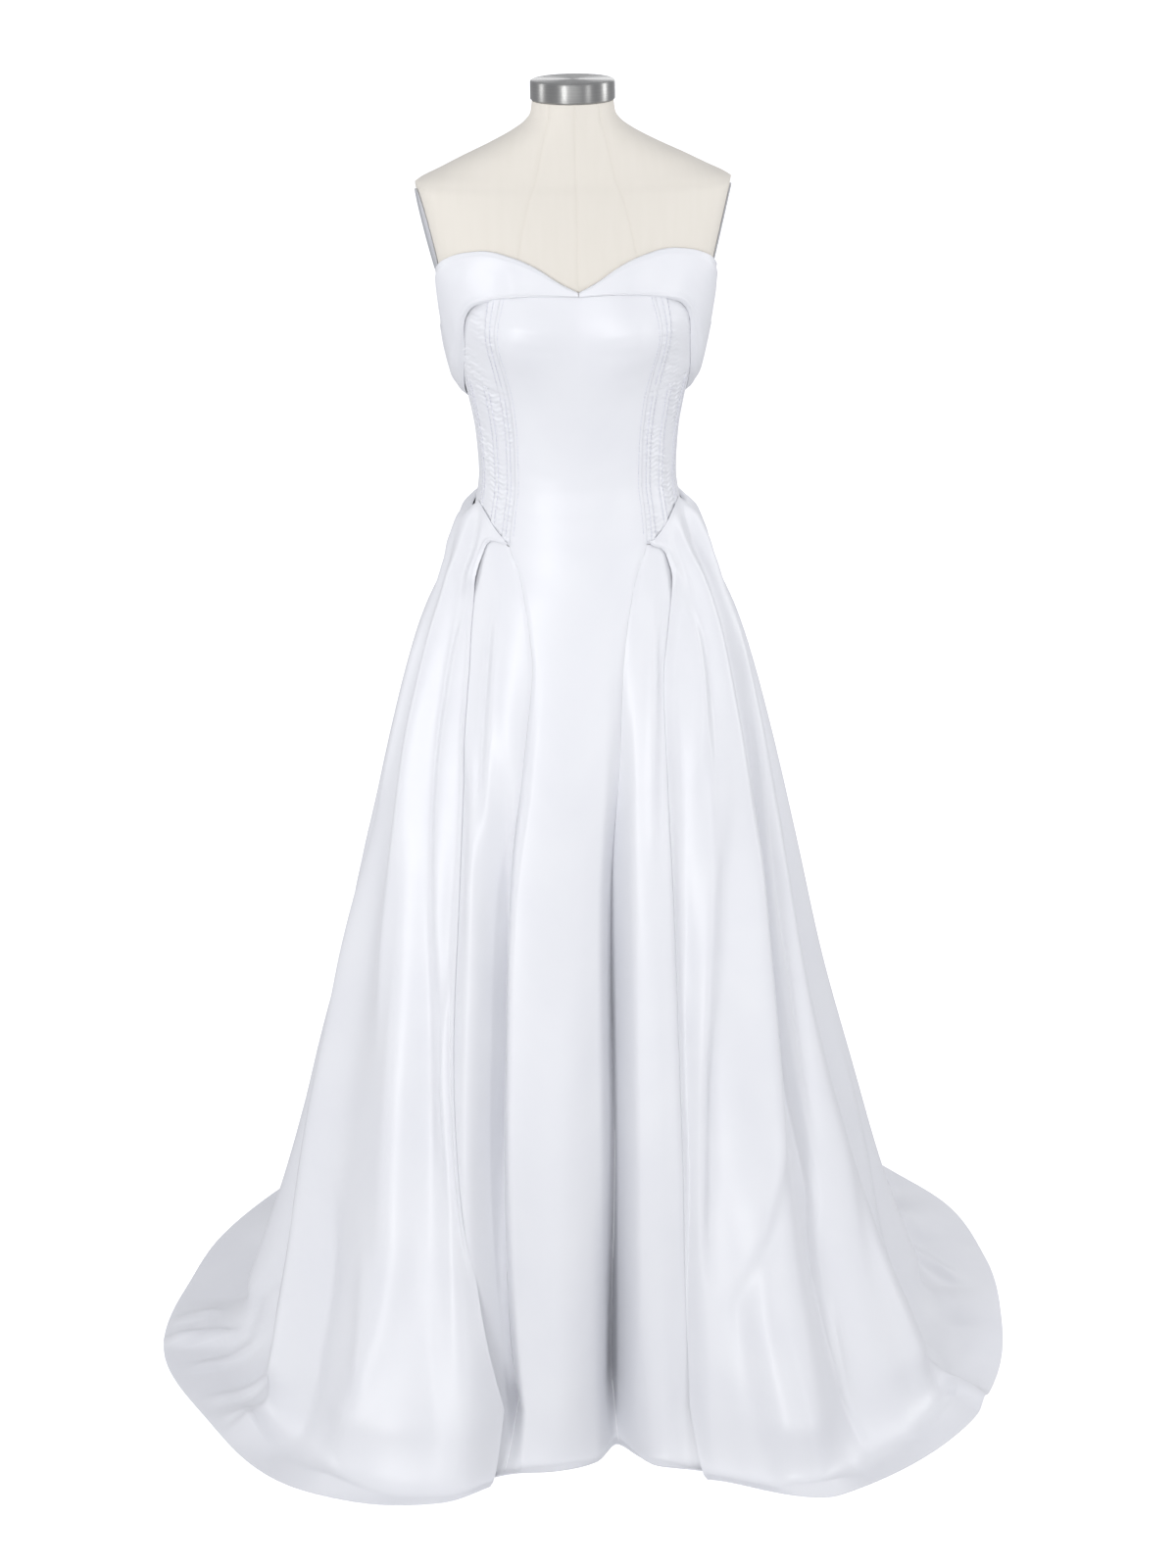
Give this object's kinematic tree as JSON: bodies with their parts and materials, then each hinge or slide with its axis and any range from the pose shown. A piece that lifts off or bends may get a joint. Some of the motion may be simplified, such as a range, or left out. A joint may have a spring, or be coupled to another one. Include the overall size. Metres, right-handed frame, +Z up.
{
  "type": "wedding dress on dress form",
  "caption": "Strapless white satin wedding dress with a turned-down cuff, boned bodice, long front panel and split overskirt with a sweep train, on a dress form",
  "frame": {"origin": "centre of the stand base's underside, on the floor under the form's axis", "axes": "+Z up; the gown's front faces -Y; +X towards the right of the front view"},
  "size_m": [1.0798, 1.2435, 1.58],
  "materials": {
    "satin_centre": "satin",
    "satin_bodice": "satin",
    "satin_cuff": "satin",
    "satin_skirt": "satin",
    "linen_cover": "plain weave",
    "brushed_cap": "brushed",
    "plate_paint": "satin",
    "stand_paint": "satin"
  },
  "bodies": {
    "root": {"centre_front": "satin_centre", "side_cup_left": "satin_bodice", "side_cup_right": "satin_bodice", "side_front_left": "satin_bodice", "side_front_right": "satin_bodice", "back_left": "satin_bodice", "back_right": "satin_bodice", "back_placket": "satin_bodice", "cuff_left": "satin_cuff", "cuff_right": "satin_cuff", "front_gore_left": "satin_skirt", "front_gore_right": "satin_skirt", "overskirt_left": "satin_skirt", "overskirt_right": "satin_skirt", "form_torso": "linen_cover", "neck_cap": "brushed_cap", "arm_plate_left": "plate_paint", "arm_plate_right": "plate_paint", "stand_pole": "stand_paint", "stand_base": "stand_paint"}
  },
  "joints": []
}
